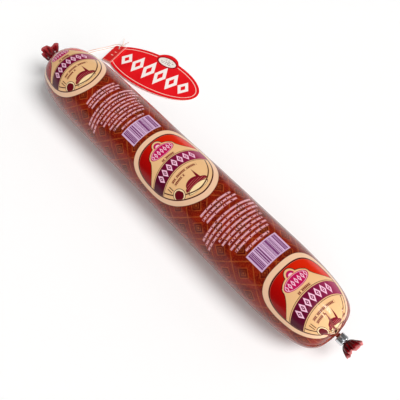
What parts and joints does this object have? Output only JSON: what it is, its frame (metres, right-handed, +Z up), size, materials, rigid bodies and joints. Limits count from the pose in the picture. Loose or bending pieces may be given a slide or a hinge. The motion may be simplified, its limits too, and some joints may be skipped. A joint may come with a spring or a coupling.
{
  "type": "clipped salami sausage",
  "caption": "Long cured sausage in a printed film casing, tied off with a metal clip at each end, with a folded card hang tag on a thread loop.",
  "frame": {"origin": "on the surface that the sausage lies on, below the middle of the sausage with its clips and film tails, without the thread and tag", "axes": "+X along the sausage towards the end without the tag, +Y towards the side that the tag lies on, +Z up"},
  "size_m": [0.3942, 0.1338, 0.0588],
  "materials": {
    "meat": "matte",
    "printed_film": "gloss",
    "clip_metal": "satin",
    "tag_card": "gloss",
    "thread": "matte"
  },
  "bodies": {
    "root": {"salami_filling": "meat", "casing": "printed_film", "clip_near": "clip_metal", "clip_far": "clip_metal", "hang_tag": "tag_card", "thread_knot": "thread", "thread_loop": "thread"}
  },
  "joints": []
}
